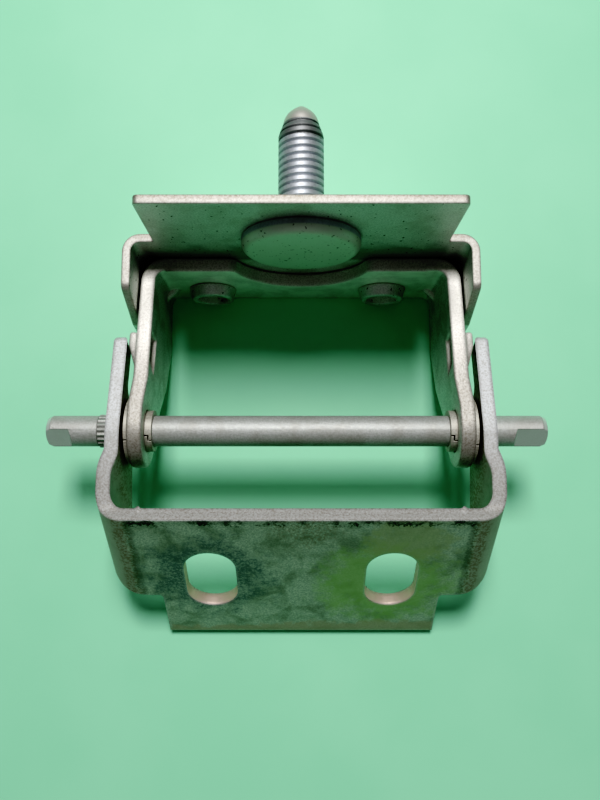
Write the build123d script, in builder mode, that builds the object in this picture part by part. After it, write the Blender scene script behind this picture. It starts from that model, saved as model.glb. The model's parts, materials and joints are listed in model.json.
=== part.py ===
from build123d import *
import os
from math import asin, atan2, cos, degrees, hypot, pi, radians, sin

os.makedirs("parts", exist_ok=True)

# Boot lid hinge: two leaves folded from sheet steel that turn on one pin.
# X runs along the pin, +Y along the stud and +Z up. The hinge stands on z = 0 with its leaves spread.

# Hinge pin
pin_diameter = 5.45
pin_height = 19.0
pin_left_overhang = 11.6
pin_right_overhang = 10.1
pin_end_round = 1.1
pin_flat_depth = 0.8
pin_flat_tilt = 42
pin_left_flat = 4.2
pin_right_flat = 5.6
pin_flat_runout = 2.0
knurl_teeth = 20
knurl_height = 0.22
knurl_root = 0.03
knurl_show = 2.3

# Slotted bracket. "Out" is square to its web and "up" runs along the web, both measured from the pin.
slotted_sheet = 2.4
slotted_bend = 2.4
slotted_joggle = 1.15
slotted_joggle_out = 7.5
slotted_joggle_run = 2.2
slotted_joggle_bend = 3.0
slotted_web_out = 17.1
slotted_web_top = -3.7
slotted_web_height = 22.1
slotted_shoulder_out = 4.4
slotted_shoulder_up = 4.7
slotted_knee_out = 6.75
slotted_knee_up = -13.2
slotted_eye_radius = 6.2
slotted_neck_out = -3.0
slotted_neck_up = -2.8
finger_length = 18.0
finger_slope = 25.4
finger_height = 3.5
finger_corner = 1.3
finger_tip_round = 0.8
eye_throat = 2.0
tab_length = 11.6
tab_width = 50.7
tab_throat = 0.8
tab_notch_rise = 0.4
foot_corner = 8.0
foot_margin = 1.0
slot_width = 9.2
slot_length = 15.8
slot_spacing = 32.3
slot_drop = 16.9
nib_spacing = 54.4
nib_radius = 0.7
nib_rise = 0.35
nib_length = 2.2

# Inner bracket: the stud leaf's thick carrier, with the eyes for the pin
inner_sheet = 2.65
inner_bend = 1.8
inner_width = 58.4
inner_joggle = 0.6
inner_joggle_near = 4.0
inner_joggle_far = 9.0
inner_joggle_bend = 6.0
inner_eye_radius = 6.5
inner_web_height = 18.6
inner_foot = 14.7
scallop_radius = 12.4
scallop_rise = 2.4
scallop_throat = 2.0
lug_length = 7.0
lug_height = 4.0
lug_depth = 1.4
lug_flat = 2.6
lug_reach = 14.4
lug_below_edge = 0.8
lug_corner = 0.5
dart_radius = 0.9
dart_length = 4.0
dart_drop = 12.4
dart_depth = 1.2

# Stud plate: the thin outer sheet that carries the stud and wraps the inner bracket's corners
plate_sheet = 1.5
plate_bend = 1.6
plate_reach = 32.1
plate_height = 44.0
plate_width = 51.3
plate_corner = 0.9
ear_drop = 17.0
ear_gap = 0.3
ear_top_run = 8.1
ear_knee_run = 12.4
ear_knee_drop = 27.0
ear_foot_run = 14.7
ear_corner = 1.5
collar_spacing = 33.5
collar_shift = -0.75
collar_height = 6.8
collar_bore = 5.8
collar_wall = 1.1
collar_spread = 0.7
collar_proud = 2.3

# Mounting stud, measured over its thread crests
stud_diameter = 7.9
stud_length = 22.9
stud_drop = 15.4
stud_head_diameter = 20.5
stud_head_height = 2.5
stud_head_round = 1.5
stud_neck_diameter = 8.4
stud_groove_diameter = 7.0
stud_groove_length = 0.6
stud_point_diameter = 5.9
stud_point_length = 2.6
stud_point_round = 1.7
stud_taper_length = 2.4

# Bushes: rolled sleeves, each with a flange between the two leaves
bush_diameter = 7.3
bush_proud = 1.15
flange_diameter = 11.6
flange_thickness = 0.6
seam_width = 0.25
seam_shift = 0.9
seam_tilt = 25

# Clearances: the leaves pass each other, the pin turns in the bushes, and pressed pieces have a hairline of air
leaf_clearance = 0.5
running_clearance = 0.05
seat_clearance = 0.02

# Sizes that follow from those above
pin_radius = pin_diameter / 2
knurl_radius = pin_radius + knurl_height
bush_radius = bush_diameter / 2
stud_radius = stud_diameter / 2
stud_neck_radius = stud_neck_diameter / 2
inner_outside = inner_width / 2
inner_inside = inner_outside - inner_sheet
inner_eye_inside = inner_inside + inner_joggle
inner_eye_outside = inner_eye_inside + inner_sheet
slotted_arm_inside = inner_eye_outside + flange_thickness + leaf_clearance
slotted_arm_outside = slotted_arm_inside + slotted_sheet
slotted_web_inside = slotted_arm_inside + slotted_joggle
slotted_web_outside = slotted_web_inside + slotted_sheet
slotted_web_inner = slotted_web_out - slotted_sheet
slotted_bend_low = slotted_web_top - slotted_web_height
tab_end = slotted_bend_low - tab_length
ear_inside = inner_outside + ear_gap
inner_web_inner = plate_reach - inner_sheet
inner_web_top = inner_web_height - pin_height
plate_top = plate_height - pin_height
plate_back = plate_reach + plate_sheet
stud_up = plate_top - stud_drop
collar_up = collar_height - pin_height
stud_tip = plate_back + stud_length

# The slotted bracket leans until the inner edge of its tab touches the ground.
tab_swing = hypot(slotted_web_inner, tab_end)
lean = atan2(-tab_end, slotted_web_inner) - asin(pin_height / tab_swing)
out_way = Vector(0, -cos(lean), sin(lean))
up_way = Vector(0, sin(lean), cos(lean))
tab_front = slotted_web_out * out_way.Y + tab_end * up_way.Y

# The origin is on the ground, in the middle of the whole hinge's length and width.
middle_x = (pin_left_overhang - pin_right_overhang) / 2
pin_y = -(tab_front + stud_tip) / 2
pin_centre = Vector(middle_x, pin_y, pin_height)
full_width = 2 * (slotted_web_outside + pin_left_overhang)
full_depth = stud_tip - tab_front

pin_axis = Axis(pin_centre, (1, 0, 0))
slotted_side = Plane(origin=pin_centre, x_dir=out_way, z_dir=(-1, 0, 0))
slotted_plan = Plane(origin=pin_centre, x_dir=(1, 0, 0), z_dir=up_way)
slotted_face = Plane(origin=pin_centre + out_way * slotted_web_out, x_dir=(1, 0, 0), z_dir=out_way)
stud_side = Plane(origin=pin_centre, x_dir=(0, 1, 0), z_dir=(1, 0, 0))
stud_plan = Plane(origin=pin_centre, x_dir=(1, 0, 0), z_dir=(0, 0, 1))
plate_front = Plane(origin=pin_centre + Vector(0, plate_reach, 0), x_dir=(1, 0, 0), z_dir=(0, -1, 0))
inner_front = plate_front.offset(inner_sheet)


def along_finger(run, rise):
    # A point measured from the shoulder along the finger and square to it.
    slope = radians(finger_slope)
    out = slotted_shoulder_out - run * cos(slope) + rise * sin(slope)
    up = slotted_shoulder_up + run * sin(slope) + rise * cos(slope)
    return (out, up)


def round_corners(convex, concave):
    # Rounds every outer and inner corner of the sketch in work.
    offset(amount=-convex)
    offset(amount=convex + concave)
    offset(amount=-concave)


def turned_corner(side, end, size):
    # Two chords round the corner of a turned piece, from its end face to its side.
    rounding = abs(size)
    turns = [radians(turn) for turn in (0, 45, 90)]
    return [(side - rounding + rounding * sin(turn), end - size + size * cos(turn)) for turn in turns]


# Slotted bracket: a folded U, cut to its side outline, then notched beside the tab and pierced
finger_end = -along_finger(finger_length, -finger_corner)[0]

with BuildPart() as slotted_bracket:
    with BuildSketch(slotted_plan):
        with BuildLine():
            FilletPolyline(
                (-slotted_arm_inside, finger_end),
                (-slotted_arm_inside, -slotted_joggle_out),
                (-slotted_web_inside, -slotted_joggle_out - slotted_joggle_run),
                (-slotted_web_inside, -slotted_web_inner),
                (slotted_web_inside, -slotted_web_inner),
                (slotted_web_inside, -slotted_joggle_out - slotted_joggle_run),
                (slotted_arm_inside, -slotted_joggle_out),
                (slotted_arm_inside, finger_end),
                radius=[
                    slotted_joggle_bend,
                    slotted_joggle_bend,
                    slotted_bend,
                    slotted_bend,
                    slotted_joggle_bend,
                    slotted_joggle_bend,
                ],
            )
            offset(amount=slotted_sheet, side=Side.RIGHT)
        make_face()
        fillet(vertices().sort_by(Axis.Y)[-4:], finger_tip_round)
    extrude(amount=full_depth, both=True)
    with BuildSketch(slotted_side):
        with BuildLine():
            Polyline(
                (slotted_web_out + finger_length, slotted_web_top),
                (slotted_web_inner, slotted_web_top),
                (slotted_shoulder_out, slotted_shoulder_up),
                along_finger(finger_length, 0),
                along_finger(finger_length, -finger_height),
                along_finger(0, -finger_height),
                (slotted_neck_out, slotted_neck_up),
                (slotted_knee_out, slotted_knee_up),
                (slotted_web_out, slotted_bend_low),
                (slotted_web_out + finger_length, slotted_bend_low),
                close=True,
            )
        make_face()
        Circle(slotted_eye_radius)
        round_corners(finger_corner, eye_throat)
        with Locations((slotted_web_out, (slotted_web_top + tab_end) / 2)):
            Rectangle(2 * slotted_sheet + slotted_bend, slotted_web_top - tab_end)
    extrude(amount=full_width, both=True, mode=Mode.INTERSECT)
    with BuildSketch(slotted_face):
        with Locations((0, slotted_bend_low + tab_notch_rise)):
            RectangleRounded(
                2 * (slotted_web_outside + foot_margin), full_depth, foot_corner, align=(Align.CENTER, Align.MIN)
            )
        with Locations((0, tab_end - tab_length)):
            Rectangle(tab_width, full_depth, align=(Align.CENTER, Align.MIN))
        offset(amount=tab_throat)
        offset(amount=-tab_throat)
    extrude(amount=full_depth, both=True, mode=Mode.INTERSECT)
    with BuildSketch(slotted_face):
        with Locations((0, slotted_web_top - slot_drop)):
            with GridLocations(slot_spacing, 0, 2, 1):
                SlotOverall(slot_length, slot_width, rotation=90)
    extrude(amount=-slotted_sheet, mode=Mode.SUBTRACT)
    with BuildSketch(slotted_plan.offset(slotted_web_top + nib_rise)):
        with Locations((0, -slotted_web_inner)):
            with GridLocations(nib_spacing, 0, 2, 1):
                Circle(nib_radius)
    extrude(amount=-nib_length)
    with BuildSketch(slotted_side):
        Circle(knurl_radius + seat_clearance)
    extrude(amount=slotted_arm_outside, mode=Mode.SUBTRACT)
    with BuildSketch(slotted_side):
        Circle(pin_radius + seat_clearance)
    extrude(amount=-slotted_arm_outside, mode=Mode.SUBTRACT)
slotted_bracket.part.label = "slotted_bracket"
export_step(slotted_bracket.part, "parts/slotted_bracket.step")

# Hinge pin: a turned rod, knurled where the left arm grips it, with a flat near each end
pin_left = -slotted_arm_outside - pin_left_overhang
pin_right = slotted_arm_outside + pin_right_overhang
flat_way = Vector(0, -sin(radians(pin_flat_tilt)), cos(radians(pin_flat_tilt)))
flat_plane = Plane(origin=pin_centre, x_dir=(1, 0, 0), z_dir=Vector(1, 0, 0).cross(flat_way))
flat_floor = pin_radius - pin_flat_depth
knurl_points = []
for tooth in range(knurl_teeth):
    for turn, radius in ((0, knurl_radius), (0.5, pin_radius + knurl_root)):
        angle = 2 * pi * (tooth + turn) / knurl_teeth
        knurl_points.append((radius * cos(angle), radius * sin(angle)))

with BuildPart() as hinge_pin:
    with BuildSketch(Plane(origin=pin_centre, x_dir=(0, 0, 1), z_dir=(0, 1, 0))):
        with BuildLine():
            Polyline(
                (0, pin_left),
                *turned_corner(pin_radius, pin_left, -pin_end_round),
                *reversed(turned_corner(pin_radius, pin_right, pin_end_round)),
                (0, pin_right),
                close=True,
            )
        make_face()
    revolve(axis=pin_axis)
    with BuildSketch(flat_plane):
        for end, length in ((pin_left, pin_left_flat), (pin_right, -pin_right_flat)):
            runout = pin_flat_runout if length > 0 else -pin_flat_runout
            with BuildLine():
                Polyline(
                    (end, flat_floor),
                    (end + length, flat_floor),
                    (end + length + runout, pin_diameter),
                    (end - runout, pin_diameter),
                    (end - runout, flat_floor),
                    close=True,
                )
            make_face()
    extrude(amount=pin_diameter, both=True, mode=Mode.SUBTRACT)
    with BuildSketch(stud_side.offset(-slotted_arm_outside - knurl_show)):
        with BuildLine():
            Polyline(*knurl_points, close=True)
        make_face()
    extrude(amount=knurl_show + slotted_sheet)
hinge_pin.part.label = "hinge_pin"
export_step(hinge_pin.part, "parts/hinge_pin.step")

# Inner bracket: a folded U whose arms run from the web to round eyes, joggled out beside the eyes
edge_slope = asin(inner_eye_radius / hypot(plate_reach, inner_web_top)) - atan2(inner_web_top, plate_reach)

with BuildPart() as inner_bracket:
    with BuildSketch(stud_plan):
        with BuildLine():
            FilletPolyline(
                (-inner_eye_inside, -full_depth),
                (-inner_eye_inside, inner_joggle_near),
                (-inner_inside, inner_joggle_far),
                (-inner_inside, inner_web_inner),
                (inner_inside, inner_web_inner),
                (inner_inside, inner_joggle_far),
                (inner_eye_inside, inner_joggle_near),
                (inner_eye_inside, -full_depth),
                radius=[
                    inner_joggle_bend,
                    inner_joggle_bend,
                    inner_bend,
                    inner_bend,
                    inner_joggle_bend,
                    inner_joggle_bend,
                ],
            )
            offset(amount=inner_sheet, side=Side.LEFT)
        make_face()
    extrude(amount=full_depth, both=True)
    with BuildSketch(stud_side):
        Circle(inner_eye_radius)
        with BuildLine():
            Polyline(
                (plate_reach - inner_foot, -pin_height),
                (plate_reach, -pin_height),
                (plate_reach, inner_web_top),
            )
        make_hull()
    extrude(amount=full_width, both=True, mode=Mode.INTERSECT)
    with BuildSketch(inner_front):
        with Locations((0, inner_web_top)):
            Rectangle(2 * inner_inside - 4 * inner_bend, plate_top, align=(Align.CENTER, Align.MIN))
        with Locations((0, inner_web_top + scallop_rise)):
            Circle(scallop_radius)
        offset(amount=scallop_throat)
        offset(amount=-scallop_throat)
    extrude(amount=-inner_sheet, mode=Mode.SUBTRACT)
    with BuildSketch(inner_front):
        with Locations((collar_shift, collar_up)):
            with GridLocations(collar_spacing, 0, 2, 1):
                Circle(collar_bore / 2 + collar_wall + seat_clearance)
    extrude(amount=-inner_sheet, mode=Mode.SUBTRACT)
    lug_up = (inner_eye_radius - lug_reach * sin(edge_slope)) / cos(edge_slope)
    for side in (-1, 1):
        lug_place = Plane(
            origin=pin_centre + Vector(side * inner_outside, lug_reach, lug_up),
            x_dir=(0, cos(edge_slope), -sin(edge_slope)),
            z_dir=(0, sin(edge_slope), cos(edge_slope)),
        ).offset(-lug_below_edge)
        for way, mode in ((0, Mode.ADD), (inner_sheet, Mode.SUBTRACT)):
            with BuildSketch(lug_place):
                with BuildLine():
                    FilletPolyline(
                        (-lug_length / 2, side * way),
                        (lug_length / 2, side * way),
                        (lug_length / 2, side * (way - lug_depth)),
                        (lug_length / 2 - lug_flat, side * (way - lug_depth)),
                        radius=[0, lug_corner if way == 0 else 0, lug_corner if way == 0 else 0, 0],
                        close=True,
                    )
                make_face()
            extrude(amount=-lug_height, mode=mode)
        dart_corner = Vector(side * (inner_inside - dart_depth / 2), inner_web_inner - dart_depth / 2)
        dart_up = Vector(0, 0, inner_web_top - dart_drop)
        with Locations(Plane(origin=pin_centre + dart_corner + dart_up, z_dir=(side, -1, 0))):
            Cylinder(dart_radius, dart_length)
    with BuildSketch(stud_side):
        Circle(bush_radius + seat_clearance)
    extrude(amount=full_width, both=True, mode=Mode.SUBTRACT)
inner_bracket.part.label = "inner_bracket"
export_step(inner_bracket.part, "parts/inner_bracket.step")

# Stud plate: a thin folded sheet, tall and narrow above, with an ear round each corner of the inner bracket
with BuildPart() as stud_plate:
    with BuildSketch(stud_plan):
        with BuildLine():
            FilletPolyline(
                (-ear_inside, -full_depth),
                (-ear_inside, plate_reach),
                (ear_inside, plate_reach),
                (ear_inside, -full_depth),
                radius=plate_bend,
            )
            offset(amount=plate_sheet, side=Side.LEFT)
        make_face()
    extrude(amount=full_depth, both=True)
    with BuildSketch(stud_side):
        with BuildLine():
            FilletPolyline(
                (plate_back, plate_top),
                (plate_reach, plate_top),
                (plate_reach, plate_top - ear_drop),
                (plate_reach - ear_top_run, plate_top - ear_drop),
                (plate_reach - ear_knee_run, plate_top - ear_knee_drop),
                (plate_reach - ear_foot_run, -pin_height),
                (plate_back, -pin_height),
                radius=[0, 0, 0, ear_corner, ear_corner, 0, 0],
                close=True,
            )
        make_face()
    extrude(amount=full_width, both=True, mode=Mode.INTERSECT)
    with BuildSketch(plate_front):
        with Locations((0, plate_top - ear_drop)):
            Rectangle(full_width, ear_drop, align=(Align.CENTER, Align.MIN))
            RectangleRounded(plate_width, 2 * ear_drop, plate_corner, mode=Mode.SUBTRACT)
    extrude(amount=-plate_sheet, mode=Mode.SUBTRACT)
    with BuildSketch(plate_front):
        with Locations((collar_shift, collar_up)):
            with GridLocations(collar_spacing, 0, 2, 1):
                Circle(collar_bore / 2 + collar_wall)
    extrude(amount=inner_sheet)
    with BuildSketch(inner_front):
        with Locations((collar_shift, collar_up)):
            with GridLocations(collar_spacing, 0, 2, 1):
                Circle(collar_bore / 2 + collar_wall + collar_spread)
    extrude(amount=collar_proud, taper=degrees(atan2(collar_spread, collar_proud)))
    with BuildSketch(inner_front.offset(collar_proud)):
        with Locations((collar_shift, collar_up)):
            with GridLocations(collar_spacing, 0, 2, 1):
                Circle(collar_bore / 2)
    extrude(amount=-(collar_proud + inner_sheet + plate_sheet), mode=Mode.SUBTRACT)
    with BuildSketch(plate_front):
        with Locations((0, stud_up)):
            Circle(stud_neck_radius + seat_clearance)
    extrude(amount=-plate_sheet, mode=Mode.SUBTRACT)
stud_plate.part.label = "stud_plate"
export_step(stud_plate.part, "parts/stud_plate.step")

# Mounting stud: turned about its own axis, with a broad flat head and a plain point that leads the nut on
stud_axis = Axis(pin_centre + Vector(0, 0, stud_up), (0, 1, 0))
stud_section = Plane(origin=stud_axis.position, x_dir=(1, 0, 0), z_dir=(0, 0, 1))
head_front = plate_reach - stud_head_height

with BuildPart() as mounting_stud:
    with BuildSketch(stud_section):
        with BuildLine():
            Polyline(
                (0, head_front),
                *turned_corner(stud_head_diameter / 2, head_front, -stud_head_round),
                (stud_head_diameter / 2, plate_reach),
                (stud_neck_radius, plate_reach),
                (stud_neck_radius, plate_back),
                (stud_groove_diameter / 2, plate_back),
                (stud_groove_diameter / 2, plate_back + stud_groove_length),
                (stud_radius, plate_back + stud_groove_length),
                (stud_radius, stud_tip - stud_point_length - stud_taper_length),
                (stud_point_diameter / 2, stud_tip - stud_point_length),
                *reversed(turned_corner(stud_point_diameter / 2, stud_tip, stud_point_round)),
                (0, stud_tip),
                close=True,
            )
        make_face()
    revolve(axis=stud_axis)
mounting_stud.part.label = "mounting_stud"
export_step(mounting_stud.part, "parts/mounting_stud.step")

# Bushes: a rolled sleeve in each eye, with a stepped seam and a flange that keeps the leaves apart
sleeve_end = inner_eye_inside - bush_proud
flange_face = inner_eye_outside + flange_thickness
bush_bore = pin_radius + running_clearance

for name, side in (("left_bush", -1), ("right_bush", 1)):
    seam_way = Vector(0, -sin(radians(seam_tilt)), cos(radians(seam_tilt)))
    with BuildPart() as bush:
        with BuildSketch(Plane(origin=pin_centre, x_dir=(side, 0, 0), z_dir=(0, -side, 0))):
            with BuildLine():
                Polyline(
                    (sleeve_end, bush_bore),
                    (sleeve_end, bush_radius),
                    (inner_eye_outside, bush_radius),
                    (inner_eye_outside, flange_diameter / 2),
                    (flange_face, flange_diameter / 2),
                    (flange_face, bush_bore),
                    close=True,
                )
            make_face()
        revolve(axis=pin_axis)
        with BuildSketch(Plane(origin=pin_centre, x_dir=(side, 0, 0), z_dir=seam_way)):
            with BuildLine():
                Polyline(
                    (sleeve_end - bush_proud, seam_shift / 2),
                    (inner_eye_inside - bush_proud / 2, seam_shift / 2),
                    (inner_eye_inside - bush_proud / 2, -seam_shift / 2),
                    (flange_face + bush_proud, -seam_shift / 2),
                )
            trace(line_width=seam_width)
        extrude(amount=flange_diameter, mode=Mode.SUBTRACT)
    bush.part.label = name
    export_step(bush.part, f"parts/{name}.step")
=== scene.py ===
import json
import math
import bpy
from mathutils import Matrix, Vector


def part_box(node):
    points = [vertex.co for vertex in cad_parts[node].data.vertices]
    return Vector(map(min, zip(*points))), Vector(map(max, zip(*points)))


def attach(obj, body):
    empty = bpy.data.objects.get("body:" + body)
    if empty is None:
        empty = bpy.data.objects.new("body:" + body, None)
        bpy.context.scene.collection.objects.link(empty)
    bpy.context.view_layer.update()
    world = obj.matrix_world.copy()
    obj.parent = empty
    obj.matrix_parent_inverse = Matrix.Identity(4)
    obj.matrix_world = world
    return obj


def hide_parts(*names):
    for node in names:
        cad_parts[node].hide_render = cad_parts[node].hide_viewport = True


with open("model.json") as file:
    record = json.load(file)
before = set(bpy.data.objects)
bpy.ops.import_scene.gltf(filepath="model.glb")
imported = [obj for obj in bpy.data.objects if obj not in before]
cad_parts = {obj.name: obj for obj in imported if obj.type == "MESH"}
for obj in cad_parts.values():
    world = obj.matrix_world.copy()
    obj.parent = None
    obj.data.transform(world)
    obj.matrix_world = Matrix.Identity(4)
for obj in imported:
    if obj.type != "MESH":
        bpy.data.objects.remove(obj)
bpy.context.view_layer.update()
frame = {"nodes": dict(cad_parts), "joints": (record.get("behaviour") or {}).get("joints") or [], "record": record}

mm = 0.001
nodes = frame["nodes"]
mounts = {m["name"]: m for m in frame["record"]["mounts"]}
pinCentre = Vector(frame["joints"][0]["pos_m"])
webNormal = Vector(mounts["slotted_face"]["axis"])      # out of the slotted web, towards the viewer
webTurn = math.atan2(-webNormal.y, webNormal.z)         # turns flat coordinates onto that web
webUp = Vector((0, webNormal.z, -webNormal.y))
weldGap = 0.002 * mm
flatWithin = math.radians(0.3)      # faces that turn less than this become one
noiseSpan = (0.25, 0.75)            # where most values of a noise lie


# material helpers

def newMaterial(name):
    mat = bpy.data.materials.new(name)
    mat.use_nodes = True
    return mat, mat.node_tree


def put(tree, kind, **settings):
    node = tree.nodes.new(kind)
    for key, value in settings.items():
        setattr(node, key, value)
    return node


def wire(tree, target, value):      # links a socket, or sets it where a plain value comes
    if hasattr(value, "is_output"):
        tree.links.new(value, target)
    else:
        target.default_value = value


def objectCoords(tree):
    return put(tree, "ShaderNodeTexCoord").outputs["Object"]


def turnedCoords(tree, place, turn):        # coordinates that start at place and are turned about X
    m = put(tree, "ShaderNodeMapping", vector_type="TEXTURE")
    wire(tree, m.inputs["Vector"], objectCoords(tree))
    m.inputs["Location"].default_value = place
    m.inputs["Rotation"].default_value = (turn, 0, 0)
    return m.outputs["Vector"]


def noise(tree, coords, size, detail=2.0, rough=0.5, twist=0.0):      # size in mm
    n = put(tree, "ShaderNodeTexNoise")
    wire(tree, n.inputs["Vector"], coords)
    n.inputs["Scale"].default_value = 1 / (size * mm)
    n.inputs["Detail"].default_value = detail
    n.inputs["Roughness"].default_value = rough
    n.inputs["Distortion"].default_value = twist
    return n.outputs["Fac"]


def remap(tree, value, low, high, toLow=0.0, toHigh=1.0):
    r = put(tree, "ShaderNodeMapRange", interpolation_type="SMOOTHSTEP")
    wire(tree, r.inputs["Value"], value)
    for key, v in (("From Min", low), ("From Max", high), ("To Min", toLow), ("To Max", toHigh)):
        r.inputs[key].default_value = v
    return r.outputs["Result"]


def fade(tree, value, start, end):      # 0 at start and 1 at end, both in mm
    return remap(tree, value, start * mm, end * mm)


def sums(tree, how, a, b):
    m = put(tree, "ShaderNodeMath", operation=how)
    wire(tree, m.inputs[0], a)
    wire(tree, m.inputs[1], b)
    return m.outputs[0]


def times(tree, a, b):
    return sums(tree, "MULTIPLY", a, b)


def unsigned(tree, value):      # the value without its sign
    return sums(tree, "ABSOLUTE", value, 0)


def blendColour(tree, factor, a, b):
    m = put(tree, "ShaderNodeMix", data_type="RGBA")
    wire(tree, m.inputs["Factor"], factor)
    for socket, value in ((m.inputs[6], a), (m.inputs[7], b)):
        wire(tree, socket, value if hasattr(value, "is_output") else (*value, 1))
    return m.outputs[2]


def axes(tree, coords):
    s = put(tree, "ShaderNodeSeparateXYZ")
    wire(tree, s.inputs[0], coords)
    return s.outputs


def roundEdges(tree, radius):
    b = put(tree, "ShaderNodeBevel", samples=4)
    b.inputs["Radius"].default_value = radius * mm
    return b.outputs["Normal"]


def lean(tree, normal, way):        # how far a normal turns towards a direction
    d = put(tree, "ShaderNodeVectorMath", operation="DOT_PRODUCT")
    wire(tree, d.inputs[0], normal)
    wire(tree, d.inputs[1], way)
    return d.outputs["Value"]


def faceLean(tree, way):
    return lean(tree, put(tree, "ShaderNodeTexCoord").outputs["Normal"], way)


def lerp(tree, factor, a, b):
    m = put(tree, "ShaderNodeMix", data_type="FLOAT")
    wire(tree, m.inputs[0], factor)
    wire(tree, m.inputs[2], a)
    wire(tree, m.inputs[3], b)
    return m.outputs[0]


def between(tree, value, low, high, soft):      # 1 from low to high, all in mm, fading over soft
    return times(tree, fade(tree, value, low - soft, low), fade(tree, value, high + soft, high))


def away(tree, coords, place):      # distance from a place given in mm
    d = put(tree, "ShaderNodeVectorMath", operation="DISTANCE")
    wire(tree, d.inputs[0], coords)
    d.inputs[1].default_value = [c * mm for c in place]
    return d.outputs["Value"]


def shaken(tree, value, ragged, reach):     # a border made uneven by reach mm either way
    return sums(tree, "ADD", value, remap(tree, ragged, *noiseSpan, -reach * mm, reach * mm))


def tint(tree, factor, share, colour, new):
    return blendColour(tree, times(tree, factor, share), colour, new)


def alongDepth(start, end, low, high):      # a share that goes from low to high between two depths, in mm
    def share(tree, coords):
        return remap(tree, axes(tree, coords)[1], start * mm, end * mm, low, high)
    return share


# what all the steel has in common: grain, clouds of stain, worn corners and torn cut edges
steel = {
    "grainSpan": (0.3, 0.7), "grainNoise": (3, 0.6), "cloudSpan": (0.42, 0.68), "cloudNoise": (4, 0.6, 0.4),
    "cornerSpan": (0.985, 0.86), "wornSpan": (0.3, 0.5), "cutSpan": (0.12, 0.4),
    "crumbNoise": (3, 0.65), "crumbSpan": (0.3, 0.6), "crumbHeight": 2.0,
    "pitSpan": (0.45, 0.75), "pitShare": 0.45, "dullShare": 0.85,
    "rotNoise": (4, 0.75), "rotFine": 1.1, "rotSpan": (0.44, 0.62, 0.1, 1), "rotShare": 0.85,
}


def tornEdge(tree, coords, look, cloud, crumb):     # colour of a sheared edge, duller where it decays
    torn = blendColour(tree, remap(tree, crumb, *steel["crumbSpan"]), look["pit"], look["bare"])
    torn = blendColour(tree, remap(tree, cloud, *steel["pitSpan"], 0, steel["pitShare"]), torn, look["pit"])
    decay = look["decay"](tree, coords)
    torn = tint(tree, decay, steel["dullShare"], torn, look["dull"])
    rot = noise(tree, coords, look["grain"] * steel["rotFine"], *steel["rotNoise"])
    rot = remap(tree, rot, *steel["rotSpan"])
    return tint(tree, rot, times(tree, decay, steel["rotShare"]), torn, look["rot"])


def agedSteel(name, look, extra=None):      # grainy zinc-plated steel with worn edges
    mat, tree = newMaterial(name)
    shader = tree.nodes["Principled BSDF"]
    coords = objectCoords(tree)
    grain = noise(tree, coords, look["grain"], *steel["grainNoise"])
    cloud = noise(tree, coords, look["cloud"], *steel["cloudNoise"])
    rounded = roundEdges(tree, look["edge"])
    colour = blendColour(tree, remap(tree, grain, *steel["grainSpan"]), look["dark"], look["pale"])
    stain = remap(tree, cloud, *steel["cloudSpan"], 0, look["stainShare"])
    colour = blendColour(tree, stain, colour, look["stain"])
    rough = remap(tree, grain, *steel["grainSpan"], *look["rough"])
    if extra:
        colour, rough = extra(tree, coords, grain, cloud, colour, rough)
    flat = put(tree, "ShaderNodeNewGeometry").outputs["True Normal"]
    corner = remap(tree, lean(tree, rounded, flat), *steel["cornerSpan"])       # where the two normals part
    speckled = remap(tree, grain, *steel["wornSpan"], look["speckle"], 1)
    worn = times(tree, times(tree, corner, look["wear"]), speckled)
    colour = blendColour(tree, worn, colour, look["bare"])
    height = grain
    if "fold" in look:      # cut edges have normals that lean along the fold's axis
        cut = remap(tree, unsigned(tree, faceLean(tree, look["fold"])), *steel["cutSpan"])
        if "whole" in look:
            cut = times(tree, cut, look["whole"](tree, coords))
        crumb = noise(tree, coords, look["crumb"], *steel["crumbNoise"])
        colour = blendColour(tree, cut, colour, tornEdge(tree, coords, look, cloud, crumb))
        rough = lerp(tree, cut, rough, look["cutRough"])
        height = sums(tree, "ADD", grain, times(tree, cut, times(tree, crumb, steel["crumbHeight"])))
    wire(tree, shader.inputs["Base Color"], colour)
    wire(tree, shader.inputs["Roughness"], rough)
    shader.inputs["Metallic"].default_value = look["metal"]
    pit = put(tree, "ShaderNodeBump")
    pit.inputs["Strength"].default_value = look["bump"]
    pit.inputs["Distance"].default_value = look["depth"] * mm
    wire(tree, pit.inputs["Height"], height)
    wire(tree, pit.inputs["Normal"], rounded)
    wire(tree, shader.inputs["Normal"], pit.outputs["Normal"])
    return mat


def dress(node, mat):
    data = nodes[node].data
    data.materials.clear()
    data.materials.append(mat)


# slotted bracket: mottled plating, washer prints round the slots and a bare strip on the tab

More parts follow.
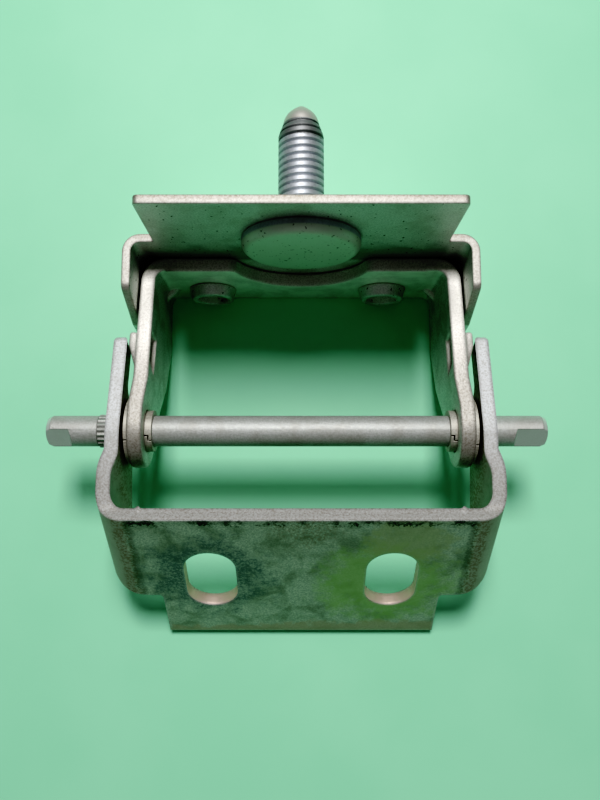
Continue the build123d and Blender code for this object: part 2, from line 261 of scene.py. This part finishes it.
slotted = {
    "grain": 0.3, "cloud": 4.5, "edge": 0.8, "dark": (0.38, 0.39, 0.36), "pale": (0.62, 0.64, 0.56),
    "stain": (0.20, 0.215, 0.165), "stainShare": 0.58, "bare": (0.72, 0.73, 0.745),
    "pit": (0.54, 0.535, 0.52), "rot": (0.24, 0.20, 0.155), "dull": (0.40, 0.39, 0.37),
    "crumb": 0.32, "wear": 0.5, "speckle": 0.3,
    "rough": (0.46, 0.62), "cutRough": 0.72, "metal": 0.75, "bump": 0.4, "depth": 0.05,
    "fold": webUp, "decay": alongDepth(-4, -22, 0.05, 0.62), "frontLean": (0.5, 0.8),
    "ragged": (3.0, 5, 0.7), "crumbs": (0.5, 3, 0.7), "uneven": 0.5,
    "grimeAndShade": (0.035, 0.035, 0.03), "rust": (0.30, 0.255, 0.20),
    "bend": (0.44, 0.425, 0.38), "bendStart": (29.4, 30.2), "bendShare": 0.8, "bendRough": 0.64,
    "seam": (29.2, 31.2, 0.8), "seamCrumbs": (0.42, 0.58), "seamShare": 0.75,
    "bendShade": (28.5, 29.1, 0.6), "bendShadeShare": 0.3,
    "line": (15.9, 16.6, 0.7), "lineUneven": 0.9, "lineCloud": (0.42, 0.58, 0.15, 1), "lineEnd": (30, 28),
    "lineShare": 0.8,
    "strip": (0.47, 0.41, 0.32), "stripStart": (-13.6, -15.0), "stripUneven": 1.2, "stripSlope": -0.045,
    "stripShare": 0.7, "stripRough": 0.6,
    "slotWall": (0.74, 0.57, 0.50), "wallShare": 0.9, "wallLean": (0.4, 0.2),
    "wallAcross": (11.0, 21.5, 0.3), "wallUp": (-8.4, 8.4, 0.3),
}
webBlots = (        # ragged round marks on the web, in mm from the middle between the slots
    {"place": (-16.5, 1.0, 0), "fade": (14.0, 6.0), "uneven": 4.0,
     "share": 0.88, "colour": (0.17, 0.20, 0.21), "crumbs": (0.35, 0.6, 0.35, 1)},
    # washer print round the right slot, tinted green as a painted reflection of the floor
    {"place": (15.0, -1.0, 0), "fade": (15.0, 7.0), "uneven": 3.5,
     "share": 0.7, "colour": (0.40, 0.50, 0.24)},
    {"place": (19.0, 11.0, 0), "fade": (9.5, 4.0), "uneven": 3.5,
     "share": 0.6, "colour": (0.46, 0.44, 0.30)},
    {"place": (1.0, 15.5, 0), "fade": (8.5, 3.0), "uneven": 2.5,
     "share": 0.6, "colour": slotted["rust"], "crumbs": (0.42, 0.6)},
)


def webCoords(tree):        # y up the web, z out of it
    return turnedCoords(tree, mounts["bolt_slots"]["pos_m"], webTurn)


def slotWalls(tree):        # 1 on the walls of the two slots
    x, y = axes(tree, webCoords(tree))[:2]
    wall = remap(tree, unsigned(tree, faceLean(tree, webNormal)), *slotted["wallLean"])
    wall = times(tree, wall, between(tree, unsigned(tree, x), *slotted["wallAcross"]))
    return times(tree, wall, between(tree, y, *slotted["wallUp"]))


def webMarks(tree, coords, grain, cloud, colour, rough):
    local = webCoords(tree)
    x, y = axes(tree, local)[:2]
    ragged = noise(tree, coords, *slotted["ragged"])
    crumbs = noise(tree, coords, *slotted["crumbs"])
    front = remap(tree, faceLean(tree, webNormal), *slotted["frontLean"])
    for blot in webBlots:
        reach = shaken(tree, away(tree, local, blot["place"]), ragged, blot["uneven"])
        mark = fade(tree, reach, *blot["fade"])
        if "crumbs" in blot:
            mark = times(tree, mark, remap(tree, crumbs, *blot["crumbs"]))
        colour = tint(tree, mark, times(tree, front, blot["share"]), colour, blot["colour"])
    side = unsigned(tree, x)
    wavy = shaken(tree, side, ragged, slotted["uneven"])
    bends = fade(tree, wavy, *slotted["bendStart"])
    colour = tint(tree, bends, slotted["bendShare"], colour, slotted["bend"])
    rough = lerp(tree, bends, rough, slotted["bendRough"])
    seam = times(tree, between(tree, wavy, *slotted["seam"]), remap(tree, crumbs, *slotted["seamCrumbs"]))
    colour = tint(tree, seam, slotted["seamShare"], colour, slotted["rust"])
    # painted shade: a dark line on the web's front where each bend begins
    bendShade = between(tree, wavy, *slotted["bendShade"])
    colour = tint(tree, bendShade, times(tree, front, slotted["bendShadeShare"]), colour, slotted["grimeAndShade"])
    high = shaken(tree, y, crumbs, slotted["lineUneven"])
    line = between(tree, high, *slotted["line"])        # a dark line under the top edge
    line = times(tree, line, times(tree, front, remap(tree, cloud, *slotted["lineCloud"])))
    lineShare = times(tree, fade(tree, side, *slotted["lineEnd"]), slotted["lineShare"])
    colour = tint(tree, line, lineShare, colour, slotted["grimeAndShade"])
    low = shaken(tree, y, ragged, slotted["stripUneven"])
    low = sums(tree, "ADD", low, times(tree, x, slotted["stripSlope"]))
    strip = fade(tree, low, *slotted["stripStart"])
    colour = tint(tree, strip, times(tree, front, slotted["stripShare"]), colour, slotted["strip"])
    rough = lerp(tree, strip, rough, slotted["stripRough"])
    return tint(tree, slotWalls(tree), slotted["wallShare"], colour, slotted["slotWall"]), rough


slotted["whole"] = lambda tree, coords: sums(tree, "SUBTRACT", 1, slotWalls(tree))
dress("slotted_bracket", agedSteel("slottedSheet", slotted, webMarks))

# inner bracket: thick sheet with pale sheared edges

inner = {
    "grain": 0.34, "cloud": 5.0, "edge": 0.9, "dark": (0.48, 0.495, 0.465), "pale": (0.74, 0.75, 0.70),
    "stain": (0.24, 0.215, 0.165), "stainShare": 0.35, "bare": (0.78, 0.755, 0.715),
    "pit": (0.60, 0.575, 0.53), "rot": (0.25, 0.22, 0.18), "dull": (0.36, 0.345, 0.315),
    "crumb": 0.32, "wear": 0.5, "speckle": 0.3,
    "rough": (0.46, 0.6), "cutRough": 0.55, "metal": 0.6, "bump": 0.4, "depth": 0.05,
    "fold": (0, 0, 1), "decay": alongDepth(10, -4, 0.05, 0.8),
    "paintedWebLight": (0.90, 0.96, 0.86), "webStart": (12.0, 13.0), "webLean": (0.7, 0.9),
    "webCloud": (0.35, 0.6, 0.9, 0.6),
}


def innerWebPaintedLight(tree, coords, grain, cloud, colour, rough):      # the web's front is painted paler and greener: painted light and painted floor reflection
    ahead = remap(tree, faceLean(tree, (0, -1, 0)), *inner["webLean"])
    ahead = times(tree, ahead, fade(tree, axes(tree, coords)[1], *inner["webStart"]))
    return tint(tree, ahead, remap(tree, cloud, *inner["webCloud"]), colour, inner["paintedWebLight"]), rough


dress("inner_bracket", agedSteel("innerSheet", inner, innerWebPaintedLight))

# stud plate: smoother sheet with black specks, and painted shade on its front over the inner bracket's web

plate = {
    "grain": 0.3, "cloud": 7.0, "edge": 0.5, "dark": (0.58, 0.61, 0.57), "pale": (0.76, 0.79, 0.74),
    "stain": (0.28, 0.25, 0.19), "stainShare": 0.25, "bare": (0.62, 0.605, 0.57),
    "pit": (0.44, 0.415, 0.375), "rot": (0.20, 0.155, 0.105), "dull": (0.36, 0.335, 0.30),
    "crumb": 0.32, "wear": 0.5, "speckle": 0.4,
    "rough": (0.48, 0.6), "cutRough": 0.6, "metal": 0.88, "bump": 0.15, "depth": 0.04,
    "fold": (0, 0, 1), "decay": alongDepth(22.6, 23.9, 0.15, 0.75),
    "speck": (0.02, 0.02, 0.018), "speckNoise": (0.8, 1, 0.5), "speckSpan": (0.69, 0.76), "speckShare": 0.9,
    "grimeAndShade": (0.09, 0.10, 0.085), "creviceShadeHigh": (28.0, 20.5), "creviceShadeFoot": (16.5, 18.0),
    "creviceShadeAcross": (-26.0, 26.0, 2.0), "creviceShadeUneven": 3.0, "creviceShadeShare": 0.55, "frontBack": (22.9, 22.7),
    "collarBack": (19.9, 19.6), "collarAcross": (-26.0, 26.0, 0.5),
}


def plateMarks(tree, coords, grain, cloud, colour, rough):
    x, y, z = axes(tree, coords)
    # painted shade: the front darkens down towards the inner bracket's web, where the parts meet
    creviceShade = fade(tree, shaken(tree, z, cloud, plate["creviceShadeUneven"]), *plate["creviceShadeHigh"])
    creviceShade = times(tree, creviceShade, fade(tree, z, *plate["creviceShadeFoot"]))
    creviceShade = times(tree, creviceShade, fade(tree, y, *plate["frontBack"]))
    creviceShade = times(tree, creviceShade, between(tree, x, *plate["creviceShadeAcross"]))
    colour = tint(tree, creviceShade, plate["creviceShadeShare"], colour, plate["grimeAndShade"])
    speck = remap(tree, noise(tree, coords, *plate["speckNoise"]), *plate["speckSpan"])
    return tint(tree, speck, plate["speckShare"], colour, plate["speck"]), rough


def besideCollars(tree, coords):        # 0 on the drawn collars, which have no cut edge
    x, y = axes(tree, coords)[:2]
    collars = times(tree, fade(tree, y, *plate["collarBack"]), between(tree, x, *plate["collarAcross"]))
    return sums(tree, "SUBTRACT", 1, collars)


plate["whole"] = besideCollars
dress("stud_plate", agedSteel("plateSheet", plate, plateMarks))

# pin, bushes and stud

pin = {
    "grain": 0.3, "cloud": 5.0, "edge": 0.15, "dark": (0.40, 0.41, 0.385), "pale": (0.52, 0.525, 0.515),
    "stain": (0.32, 0.30, 0.265), "stainShare": 0.4, "bare": (0.62, 0.61, 0.58), "wear": 0.4, "speckle": 0.5,
    "rough": (0.48, 0.62), "metal": 0.45, "bump": 0.85, "depth": 0.05,
    "radius": 2.725, "flat": (0.62, 0.70, 0.65), "flatStart": (35.4, 35.9), "flatDepth": (-0.04, -0.14),
    "flatReflectionShare": 0.8, "flatRough": 0.4,
    "grimeAndShade": (0.04, 0.035, 0.03), "grooveDepth": (0.15, 0.05), "grooveShare": 0.6,
    "knurl": (-35.7, -33.25, 0.15),
}


def pinMarks(tree, coords, grain, cloud, colour, rough):
    x, y, z = axes(tree, turnedCoords(tree, pinCentre, 0))
    reach = sums(tree, "SQRT", sums(tree, "ADD", sums(tree, "POWER", y, 2), sums(tree, "POWER", z, 2)), 0)
    ends = fade(tree, unsigned(tree, x), *pin["flatStart"])
    flat = times(tree, ends, fade(tree, reach, *[pin["radius"] + depth for depth in pin["flatDepth"]]))
    # painted reflection: the end flats take a green tint, like the floor they face
    colour = tint(tree, flat, pin["flatReflectionShare"], colour, pin["flat"])
    rough = lerp(tree, flat, rough, pin["flatRough"])
    # painted shade: the knurl's grooves are darkened
    groove = fade(tree, reach, *[pin["radius"] + depth for depth in pin["grooveDepth"]])
    groove = times(tree, groove, between(tree, x, *pin["knurl"]))
    return tint(tree, groove, pin["grooveShare"], colour, pin["grimeAndShade"]), rough


dress("hinge_pin", agedSteel("pinSteel", pin, pinMarks))

bush = {
    "grain": 0.3, "cloud": 3.0, "edge": 0.15, "dark": (0.40, 0.385, 0.34), "pale": (0.58, 0.56, 0.51),
    "stain": (0.30, 0.25, 0.19), "stainShare": 0.35, "bare": (0.66, 0.64, 0.59), "wear": 0.5, "speckle": 0.5,
    "rough": (0.5, 0.65), "metal": 0.5, "bump": 0.3, "depth": 0.03,
}
bushSteel = agedSteel("bushSteel", bush)
dress("left_bush", bushSteel)
dress("right_bush", bushSteel)

stud = {
    "grain": 0.4, "cloud": 4.0, "edge": 0.2, "dark": (0.46, 0.48, 0.515), "pale": (0.54, 0.56, 0.60),
    "stain": (0.33, 0.335, 0.34), "stainShare": 0.3, "bare": (0.60, 0.60, 0.60), "wear": 0.3, "speckle": 0.5,
    "rough": (0.5, 0.58), "metal": 0.7, "bump": 0.06, "depth": 0.03,
    "face": (0.66, 0.74, 0.62), "faceEnd": (21.6, 21.2), "faceReflectionShare": 0.8,
    "speckNoise": (0.55, 1, 0.5), "speckSpan": (0.66, 0.74), "speckCloud": (0.4, 0.55), "speckShare": 0.75,
    "dirt": (0.17, 0.17, 0.16), "dirty": (39.9, 42.7, 0.5), "dirtUneven": 0.4, "dirtShare": 0.72,
    "point": (0.60, 0.57, 0.51), "pointStart": (42.8, 43.0), "pointShare": 0.8, "bareRough": 0.52,
}


def studMarks(tree, coords, grain, cloud, colour, rough):       # specked head with a painted floor reflection on its face, dirty last turns, clean point
    along = axes(tree, coords)[1]
    # painted reflection: the head's face is paler and greener, like the floor in front of it
    face = fade(tree, along, *stud["faceEnd"])
    colour = tint(tree, face, stud["faceReflectionShare"], colour, stud["face"])
    speck = times(tree, face, remap(tree, noise(tree, coords, *stud["speckNoise"]), *stud["speckSpan"]))
    speck = times(tree, speck, remap(tree, cloud, *stud["speckCloud"]))
    colour = tint(tree, speck, stud["speckShare"], colour, stud["dirt"])
    dirt = between(tree, shaken(tree, along, cloud, stud["dirtUneven"]), *stud["dirty"])
    colour = tint(tree, dirt, stud["dirtShare"], colour, stud["dirt"])
    point = fade(tree, along, *stud["pointStart"])
    colour = tint(tree, point, stud["pointShare"], colour, stud["point"])
    return colour, lerp(tree, sums(tree, "MAXIMUM", face, point), rough, stud["bareRough"])


studZinc = agedSteel("studZinc", stud, studMarks)
dress("mounting_stud", studZinc)
print("steel finishes on the CAD nodes")


# piece helpers

def setMode(mode):
    bpy.ops.object.mode_set(mode=mode)


def profileChain(name, points, place):      # open chain of edges: x is radius, y runs along
    bpy.ops.object.select_all(action="DESELECT")
    bpy.ops.mesh.primitive_circle_add(vertices=len(points), fill_type="NOTHING", location=place)
    piece = bpy.context.object
    piece.name = name
    for vertex, (x, y) in zip(piece.data.vertices, points):
        vertex.co = (x * mm, y * mm, 0)
    bpy.context.tool_settings.mesh_select_mode = (False, True, False)
    setMode("EDIT")
    bpy.ops.mesh.select_all(action="DESELECT")
    setMode("OBJECT")
    ends = {0, len(points) - 1}
    for edge in piece.data.edges:
        edge.select = set(edge.vertices) == ends
    setMode("EDIT")
    bpy.ops.mesh.delete(type="EDGE")
    setMode("OBJECT")
    return piece


def arcPoints(x, y, radius, start, end, count):
    turns = [math.radians(start + (end - start) * i / count) for i in range(count + 1)]
    return [(x + radius * math.cos(t), y + radius * math.sin(t)) for t in turns]


def cleanShell(piece):
    bpy.context.tool_settings.mesh_select_mode = (True, False, False)
    setMode("EDIT")
    bpy.ops.mesh.select_all(action="SELECT")
    bpy.ops.mesh.remove_doubles(threshold=weldGap)
    bpy.ops.mesh.normals_make_consistent(inside=False)
    setMode("OBJECT")


# sheet pieces and pin: copies of the CAD shapes with their sharp edges worn round

def fromPin(co):        # across, and up the slotted web, in mm
    return (co.x - pinCentre.x) / mm, (co - pinCentre).dot(webUp) / mm


def looseCopy(name, node):
    bpy.ops.object.select_all(action="DESELECT")
    piece = bpy.data.objects.new(name, nodes[node].data.copy())
    bpy.context.scene.collection.objects.link(piece)
    piece.select_set(True)
    bpy.context.view_layer.objects.active = piece
    bpy.ops.mesh.customdata_custom_splitnormals_clear()
    setMode("EDIT")
    bpy.ops.mesh.select_all(action="SELECT")
    bpy.ops.mesh.remove_doubles(threshold=weldGap)
    bpy.ops.mesh.dissolve_limited(angle_limit=flatWithin)
    setMode("OBJECT")
    return piece


def wearEdges(piece, wear, left=None):      # left says which points keep their edges as they are
    bpy.context.tool_settings.mesh_select_mode = (False, True, False)
    setMode("EDIT")
    bpy.ops.mesh.select_all(action="DESELECT")
    bpy.ops.mesh.edges_select_sharp(sharpness=math.radians(wear["sharp"]))
    setMode("OBJECT")
    for edge in piece.data.edges:
        if left and edge.select and all(left(piece.data.vertices[i].co) for i in edge.vertices):
            edge.select = False
    setMode("EDIT")
    bpy.ops.mesh.bevel(offset=wear["round"] * mm, offset_type="OFFSET", segments=2, profile=0.5,
                       clamp_overlap=wear["clamp"])
    setMode("OBJECT")
    cleanShell(piece)
    bpy.ops.object.shade_smooth_by_angle(angle=math.radians(wear["smooth"]))
    flatFirst = piece.modifiers.new("flatFirst", "WEIGHTED_NORMAL")
    flatFirst.keep_sharp = True
    bpy.ops.object.modifier_apply(modifier=flatFirst.name)


def standIn(piece, node, body):
    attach(piece, body)
    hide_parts(node)
    print(piece.name, len(piece.data.polygons), "faces")


slottedWear = {
    "round": 0.35, "sharp": 38, "smooth": 30, "clamp": True,
    "nibApart": 27.2, "nibReach": 1.0, "nibTop": -3.45, "nibFoot": -6.1, "nibShrink": 0.4,
    "tipRound": 1.0, "tipMiddle": 32.1, "tipHalf": 1.2, "tipOver": 0.04,
}
slottedPiece = looseCopy("wornSlottedSheet", "slotted_bracket")
tipRound = slottedWear["tipRound"]
tipEnd = max(v.co.y for v in slottedPiece.data.vertices) + slottedWear["tipOver"] * mm


def nearNib(co):
    across, up = fromPin(co)
    beside = abs(abs(across) - slottedWear["nibApart"]) < slottedWear["nibReach"]
    return beside and up > slottedWear["nibFoot"]


def nibOrTip(co):
    return nearNib(co) or co.y > tipEnd - tipRound * mm


for side in (-1, 1):        # the nibs draw in to a burr
    cap = [v for v in slottedPiece.data.vertices
           if nearNib(v.co) and fromPin(v.co)[1] > slottedWear["nibTop"] and v.co.x * side > 0]
    middle = sum((v.co for v in cap), Vector()) / len(cap)
    for vertex in cap:
        vertex.co = middle + (vertex.co - middle) * slottedWear["nibShrink"]
for vertex in slottedPiece.data.vertices:       # the fingers end round, seen from above
    ahead = tipRound - (tipEnd - vertex.co.y) / mm
    if ahead > 0:
        across = fromPin(vertex.co)[0]
        half = slottedWear["tipHalf"] - tipRound + math.sqrt(tipRound ** 2 - ahead ** 2)
        aside = max(-half, min(half, abs(across) - slottedWear["tipMiddle"]))
        vertex.co.x = pinCentre.x + math.copysign(slottedWear["tipMiddle"] + aside, across) * mm
wearEdges(slottedPiece, slottedWear, nibOrTip)
standIn(slottedPiece, "slotted_bracket", "slotted_leaf")

innerWear = {
    "round": 0.4, "sharp": 38, "smooth": 30, "clamp": False, "stepApart": (22.6, 23.8), "webTop": 18.6,
    "dartApart": 22.5, "dartBack": 15.0, "dartHigh": (2.0, 10.0),
}


def nearDart(co):
    low, high = innerWear["dartHigh"]
    beside = abs(fromPin(co)[0]) > innerWear["dartApart"] and co.y > innerWear["dartBack"] * mm
    return beside and low < co.z / mm < high


innerPiece = looseCopy("wornInnerSheet", "inner_bracket")
for vertex in innerPiece.data.vertices:     # the arms' slope runs out on the web's top
    if innerWear["stepApart"][0] < abs(fromPin(vertex.co)[0]) < innerWear["stepApart"][1]:
        vertex.co.z = min(vertex.co.z, innerWear["webTop"] * mm)
cleanShell(innerPiece)
wearEdges(innerPiece, innerWear, nearDart)
standIn(innerPiece, "inner_bracket", "stud_leaf")

plateWear = {"round": 0.22, "sharp": 38, "smooth": 30, "clamp": False}
platePiece = looseCopy("wornPlateSheet", "stud_plate")
wearEdges(platePiece, plateWear)
standIn(platePiece, "stud_plate", "stud_leaf")

pinWear = {"round": 0.4, "sharp": 15, "smooth": 20, "clamp": True, "end": 1.4}
pinLow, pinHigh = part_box("hinge_pin")


def pinShank(co):
    end = pinWear["end"] * mm
    return pinLow.x + end < co.x < pinHigh.x - end


pinPiece = looseCopy("roundEndedPin", "hinge_pin")
wearEdges(pinPiece, pinWear, pinShank)
standIn(pinPiece, "hinge_pin", "slotted_leaf")


# mounting stud: a turned head and point, and a thread that fades on the taper, as three closed shells

studCut = {
    "pitch": 1.25, "depth": 0.45, "crest": 0.56, "root": 0.04, "turnSteps": 56, "latheSteps": 96,
    "headHeight": 2.5, "headRound": 1.5, "headSteps": 8, "backRound": 0.2, "backSteps": 3, "neckRadius": 4.2,
    "taper": 2.0, "tipShort": 0.37, "runOut": 0.45, "overlap": 0.3, "pastPoint": 0.02,
    "spareTurns": 2, "smooth": 32, "turnWeld": 0.001, "cutFine": 0.0001,
    "point": ((3.2, -3.75), (3.03, -3.0), (2.8, -2.4), (2.42, -1.8), (1.95, -1.32), (1.4, -0.85), (0.8, -0.4),
              (0.3, -0.1), (0.12, 0)),
}
studLow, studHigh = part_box("mounting_stud")
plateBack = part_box("stud_plate")[1].y
studMount = mounts["stud"]
crestRadius = studMount["dims"]["r_mm"]
studAxis = Vector(studMount["pos_m"])
studFoot = Vector((studAxis.x, plateBack, studAxis.z))
studReach = (studHigh.y - plateBack) / mm - studCut["tipShort"]       # plate to tip
headFront = (studLow.y - plateBack) / mm
headBack = headFront + studCut["headHeight"]
headRadius = (studHigh.x - studLow.x) / 2 / mm
rootRadius = crestRadius - studCut["depth"]
pointRadius, pointStart = studCut["point"][0][0], studReach + studCut["point"][0][1]

headLine = [(0, headFront)]
headLine += arcPoints(headRadius - studCut["headRound"], headFront + studCut["headRound"],
                      studCut["headRound"], -90, 0, studCut["headSteps"])
headLine += arcPoints(headRadius - studCut["backRound"], headBack - studCut["backRound"],
                      studCut["backRound"], 0, 90, studCut["backSteps"])
headLine += [(studCut["neckRadius"], headBack), (studCut["neckRadius"], 0), (0, 0)]
coreRadius, coreStart = pointRadius - studCut["depth"], pointStart - studCut["overlap"]
pointLine = [(0, coreStart), (coreRadius, coreStart), (coreRadius, pointStart)]
pointLine += [(r, studReach + y) for r, y in studCut["point"]] + [(0, studReach)]
turned = []
for name, line in (("studHead", headLine), ("studPoint", pointLine)):
    piece = profileChain(name, line, studFoot)
    setMode("EDIT")
    bpy.ops.mesh.select_all(action="SELECT")
    bpy.ops.mesh.spin(steps=studCut["latheSteps"], angle=2 * math.pi, center=studFoot, axis=(0, 1, 0))
    setMode("OBJECT")
    cleanShell(piece)
    turned.append(piece)

pitch = studCut["pitch"]
flank = (1 - studCut["crest"] - studCut["root"]) / 2
threadLine = [(rootRadius, 0), (rootRadius, studCut["root"] * pitch),
              (crestRadius, (studCut["root"] + flank) * pitch),
              (crestRadius, (1 - flank) * pitch), (rootRadius, pitch)]
spare = studCut["spareTurns"]       # turns over at each end, cut off below
thread = profileChain("studThread", threadLine, studFoot - Vector((0, spare * pitch * mm, 0)))
winding = thread.modifiers.new("winding", "SCREW")
winding.axis = "Y"
winding.angle = 2 * math.pi
winding.screw_offset = pitch * mm
winding.iterations = math.ceil(pointStart / pitch) + 2 * spare
winding.steps = winding.render_steps = studCut["turnSteps"]
winding.use_merge_vertices = True
winding.merge_threshold = studCut["turnWeld"] * mm
bpy.ops.object.modifier_apply(modifier=winding.name)
bpy.ops.object.transform_apply(location=True, rotation=True, scale=True)
# the thread's ends are cut square, inside the head and the point
squareEnds = ((-studCut["overlap"], 1), (pointStart + studCut["pastPoint"], -1))
for along, side in squareEnds:
    setMode("EDIT")
    bpy.ops.mesh.select_all(action="SELECT")
    bpy.ops.mesh.bisect(plane_co=studFoot + Vector((0, along * mm, 0)), plane_no=(0, side, 0),
                        use_fill=True, clear_inner=True, threshold=studCut["cutFine"] * mm)
    setMode("OBJECT")
taperStart = pointStart - studCut["taper"]
for vertex in thread.data.vertices:                     # the thread narrows and fades on the taper
    along = (vertex.co.y - plateBack) / mm
    if along > taperStart:
        share = min(1, (along - taperStart) / studCut["taper"])
        limit = crestRadius + (pointRadius - crestRadius) * share
        reach = math.hypot(vertex.co.x - studAxis.x, vertex.co.z - studAxis.z) / mm
        shrink = (limit - (crestRadius - reach) * (1 - studCut["runOut"] * share)) / reach
        vertex.co.x = studAxis.x + (vertex.co.x - studAxis.x) * shrink
        vertex.co.z = studAxis.z + (vertex.co.z - studAxis.z) * shrink
cleanShell(thread)
bpy.ops.object.select_all(action="DESELECT")
for piece in (thread, *turned):
    piece.select_set(True)
bpy.context.view_layer.objects.active = turned[0]
bpy.ops.object.join()
threadedStud = bpy.context.object
threadedStud.name = "threadedStud"
bpy.ops.object.transform_apply(location=True, rotation=True, scale=True)
bpy.ops.object.shade_smooth_by_angle(angle=math.radians(studCut["smooth"]))
threadedStud.data.materials.clear()
threadedStud.data.materials.append(studZinc)
standIn(threadedStud, "mounting_stud", "stud_leaf")


# floor, light and camera

stageSet = {
    "floorSize": 3.0, "floorColour": (0.325, 0.74, 0.485), "floorPale": (0.345, 0.76, 0.505),
    "floorRough": 0.55, "mottle": (30, 3), "mottleSpan": (0.35, 0.65),
    "sky": (0.95, 1.0, 0.97), "skyPower": 0.16,
    "keyPlace": (0.0, 0.31, 0.622), "keySize": (0.16, 0.22), "keyPower": 3.95,
    "filmToe": ((0.035, 0.002), (0.055, 0.006), (0.09, 0.033), (0.13, 0.079), (0.2, 0.172), (0.28, 0.276)),
}
bpy.ops.object.select_all(action="DESELECT")
bpy.ops.mesh.primitive_plane_add(size=stageSet["floorSize"], location=(0, 0, 0))
floor = bpy.context.object
floor.name = "paleFloor"
floorMat, floorTree = newMaterial("paleMint")
floorShader = floorTree.nodes["Principled BSDF"]
mottle = noise(floorTree, objectCoords(floorTree), *stageSet["mottle"])
wire(floorTree, floorShader.inputs["Base Color"],
     blendColour(floorTree, remap(floorTree, mottle, *stageSet["mottleSpan"]),
                 stageSet["floorColour"], stageSet["floorPale"]))
floorShader.inputs["Roughness"].default_value = stageSet["floorRough"]
floor.data.materials.append(floorMat)

world = bpy.data.worlds.new("softRoom")
bpy.context.scene.world = world
world.use_nodes = True
world.node_tree.nodes["Background"].inputs["Color"].default_value = (*stageSet["sky"], 1)
world.node_tree.nodes["Background"].inputs["Strength"].default_value = stageSet["skyPower"]

lampData = bpy.data.lights.new("keyBox", "AREA")
lampData.shape = "RECTANGLE"
lampData.size, lampData.size_y = stageSet["keySize"]
lampData.energy = stageSet["keyPower"]
lamp = bpy.data.objects.new("keyBox", lampData)
bpy.context.scene.collection.objects.link(lamp)
lamp.location = stageSet["keyPlace"]
aim = Vector(stageSet["keyPlace"]) - pinCentre
lamp.rotation_euler = (-math.atan2(aim.y, aim.z), 0, 0)       # tipped at the pin

lookDown = {"fromPin": (-0.2, -12.0, 133.0), "tip": 7.53, "lens": 33.75, "sensor": 36.0, "near": 0.01}
cameraData = bpy.data.cameras.new("photoCamera")
cameraData.lens = lookDown["lens"]
cameraData.sensor_width = lookDown["sensor"]
cameraData.clip_start = lookDown["near"]
camera = bpy.data.objects.new("photoCamera", cameraData)
bpy.context.scene.collection.objects.link(camera)
camera.location = pinCentre + Vector(lookDown["fromPin"]) * mm
camera.rotation_euler = (math.radians(lookDown["tip"]), 0, 0)
bpy.context.scene.camera = camera
film = bpy.context.scene.view_settings
film.view_transform = "Standard"
film.use_curve_mapping = True       # a camera's toe: deep shadows close up
toe = film.curve_mapping.curves[3]      # the one for all three colours
for at, level in stageSet["filmToe"]:
    toe.points.new(at, level)
film.curve_mapping.update()
print("floor, light and camera")
